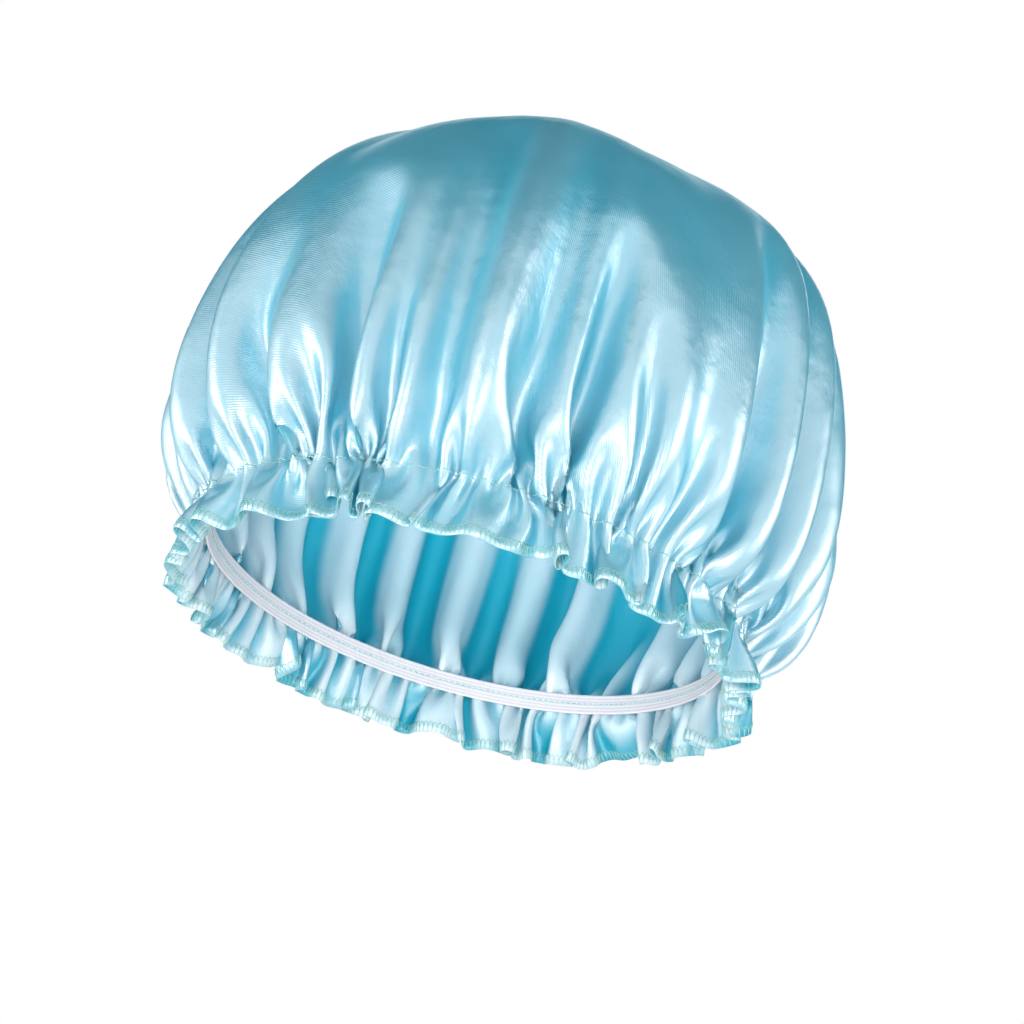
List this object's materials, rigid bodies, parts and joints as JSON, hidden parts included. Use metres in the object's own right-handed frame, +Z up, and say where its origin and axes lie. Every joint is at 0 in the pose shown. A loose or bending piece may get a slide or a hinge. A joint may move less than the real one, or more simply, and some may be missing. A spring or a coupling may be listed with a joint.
{
  "type": "satin hair bonnet",
  "caption": "Satin sleep bonnet: a puffed round crown gathered onto a sewn elastic tape, with a ruffled frill and an overlocked hem round the mouth.",
  "frame": {"origin": "centre of the mouth on the surface that the hem stands on, at the middle of the box's bottom", "axes": "+Z up through the top of the crown, -Y towards the side that the picture shows, +X to that side's right"},
  "size_m": [0.2293, 0.2284, 0.1795],
  "materials": {
    "satin": "glossy satin weave, duller on its inner face",
    "elastic": "white knitted elastic tape with fine lengthwise ribs",
    "thread": "pale mint sewing thread"
  },
  "bodies": {
    "root": {"crown": "satin", "frill": "satin", "elastic_band": "elastic", "band_needle_thread": "thread", "band_looper_thread": "thread", "hem_upper_looper": "thread", "hem_lower_looper": "thread", "hem_needle_thread": "thread"}
  },
  "joints": []
}
